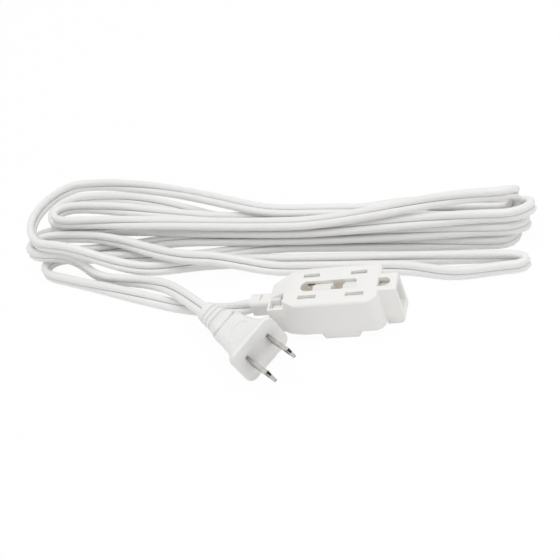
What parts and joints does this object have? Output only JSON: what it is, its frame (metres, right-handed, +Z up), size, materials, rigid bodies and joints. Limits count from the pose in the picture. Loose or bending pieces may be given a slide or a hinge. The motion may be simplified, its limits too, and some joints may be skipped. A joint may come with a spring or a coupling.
{
  "type": "extension cord",
  "caption": "Household extension cord with a flat twin cord in a wound hank, a two-blade plug and a multi-outlet tap with a sliding tamper guard.",
  "frame": {"origin": "centre of the bottom of the tap's box, on the surface that the tap stands on", "axes": "+X along the tap from the strain relief to the end piece, +Y to the tap's far side, +Z up out of its top outlets"},
  "size_m": [0.2605, 0.1494, 0.0289],
  "materials": {
    "white_cover": "satin",
    "white_guard": "matte",
    "tan_carrier": "matte",
    "brass_strip": "satin",
    "blade_metal": "satin",
    "copper_strand": "satin",
    "white_wire": "satin",
    "white_mould": "satin",
    "white_cord": "satin"
  },
  "bodies": {
    "tap": {"tap_top_cover": "white_cover", "tap_bottom_cover": "white_cover", "contact_carrier": "tan_carrier", "contact_hot": "brass_strip", "contact_neutral": "brass_strip", "tap_wire_hot": "white_wire", "tap_wire_neutral": "white_wire", "tap_strand_hot": "copper_strand", "tap_strand_neutral": "copper_strand", "cord_grip": "white_mould", "plug_body": "white_mould", "blade_holder": "white_guard", "blade_hot": "blade_metal", "blade_neutral": "blade_metal", "plug_wire_hot": "white_wire", "plug_wire_neutral": "white_wire", "plug_strand_hot": "copper_strand", "plug_strand_neutral": "copper_strand", "plug_lead": "white_cord", "tap_lead": "white_cord", "cord_hank": "white_cord"},
    "shutter": {"shutter_plate": "white_guard"}
  },
  "joints": [
    {"name": "shutter_slide", "type": "slide", "parent": "tap", "child": "shutter", "axis": [0, 1, 0], "range_m": [0, 0.0024]}
  ]
}
